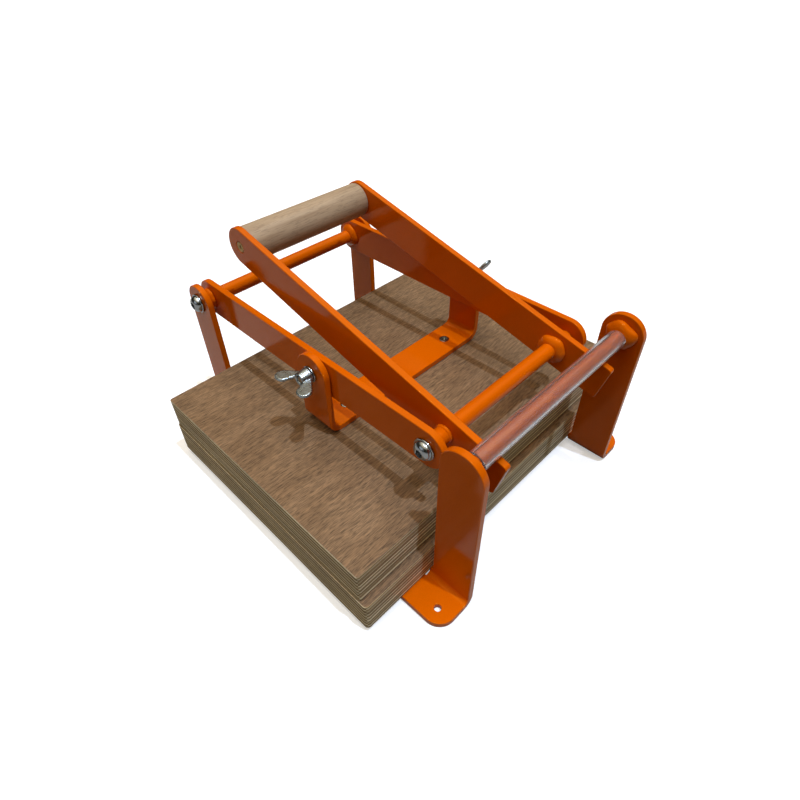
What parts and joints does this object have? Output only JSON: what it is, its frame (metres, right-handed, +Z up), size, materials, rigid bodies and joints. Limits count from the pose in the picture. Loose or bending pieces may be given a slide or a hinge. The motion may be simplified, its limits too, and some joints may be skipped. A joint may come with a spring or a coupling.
{
  "type": "bookbinding press",
  "caption": "Lever-action bookbinding press: plywood boards, painted steel side brackets, pressing arms, handle levers with a wooden grip, and a sleeved crossbar.",
  "frame": {"origin": "centre of the footprint on the table, at the underside of the feet", "axes": "+X along the rods to the right seen from the front, +Y from the crossbar at the front to the rear shaft, +Z up"},
  "size_m": [0.302, 0.31, 0.1783],
  "materials": {
    "painted_orange": "gloss",
    "plywood_base": "satin",
    "plywood_platen": "satin",
    "beech": "satin",
    "clear_pvc": "gloss",
    "zinc": "satin",
    "zinc_cast": "matte",
    "yellow_zinc": "satin"
  },
  "bodies": {
    "base": {"base_board": "plywood_base", "base_screws": "zinc", "side_bracket_left": "painted_orange", "side_bracket_right": "painted_orange", "crossbar_rod": "painted_orange"},
    "sleeve": {"crossbar_sleeve": "clear_pvc"},
    "arms": {"pressing_arm_left": "painted_orange", "pressing_arm_right": "painted_orange", "rear_shaft": "painted_orange", "rear_shaft_screws": "zinc", "rear_shaft_washers": "zinc", "bracket_stud_left": "zinc", "bracket_stud_right": "zinc", "wing_washers": "zinc"},
    "handle": {"pivot_shaft": "painted_orange", "pivot_screws": "zinc", "pivot_washers": "zinc", "handle_lever_left": "painted_orange", "handle_lever_right": "painted_orange", "handle_grip": "beech", "grip_screws": "yellow_zinc"},
    "platen": {"platen_board": "plywood_platen", "platen_bracket": "painted_orange", "bracket_screws": "zinc"},
    "wing_nut_left": {"wing_nut_left": "zinc_cast"},
    "wing_nut_right": {"wing_nut_right": "zinc_cast"}
  },
  "joints": [
    {"name": "arm_lift", "type": "hinge", "parent": "base", "child": "arms", "pos_m": [0, 0.14, 0.1115], "axis": [-1, 0, 0], "range_deg": [0, 11]},
    {"name": "handle_lift", "type": "hinge", "parent": "arms", "child": "handle", "pos_m": [0, -0.103, 0.1115], "axis": [1, 0, 0], "range_deg": [0, 99]},
    {"name": "platen_level", "type": "hinge", "parent": "arms", "child": "platen", "pos_m": [0, 0, 0.114], "axis": [1, 0, 0], "range_deg": [0, 11]},
    {"name": "sleeve_spin", "type": "hinge", "parent": "base", "child": "sleeve", "pos_m": [0, -0.139, 0.1263], "axis": [1, 0, 0], "continuous": true},
    {"name": "wing_nut_left_turn", "type": "hinge", "parent": "arms", "child": "wing_nut_left", "pos_m": [-0.094, 0, 0.114], "axis": [-1, 0, 0], "continuous": true},
    {"name": "wing_nut_right_turn", "type": "hinge", "parent": "arms", "child": "wing_nut_right", "pos_m": [0.094, 0, 0.114], "axis": [1, 0, 0], "continuous": true}
  ],
  "couplings": [
    {"joint": "handle_lift", "follows": "arm_lift", "ratio": 9},
    {"joint": "platen_level", "follows": "arm_lift", "ratio": 1}
  ]
}
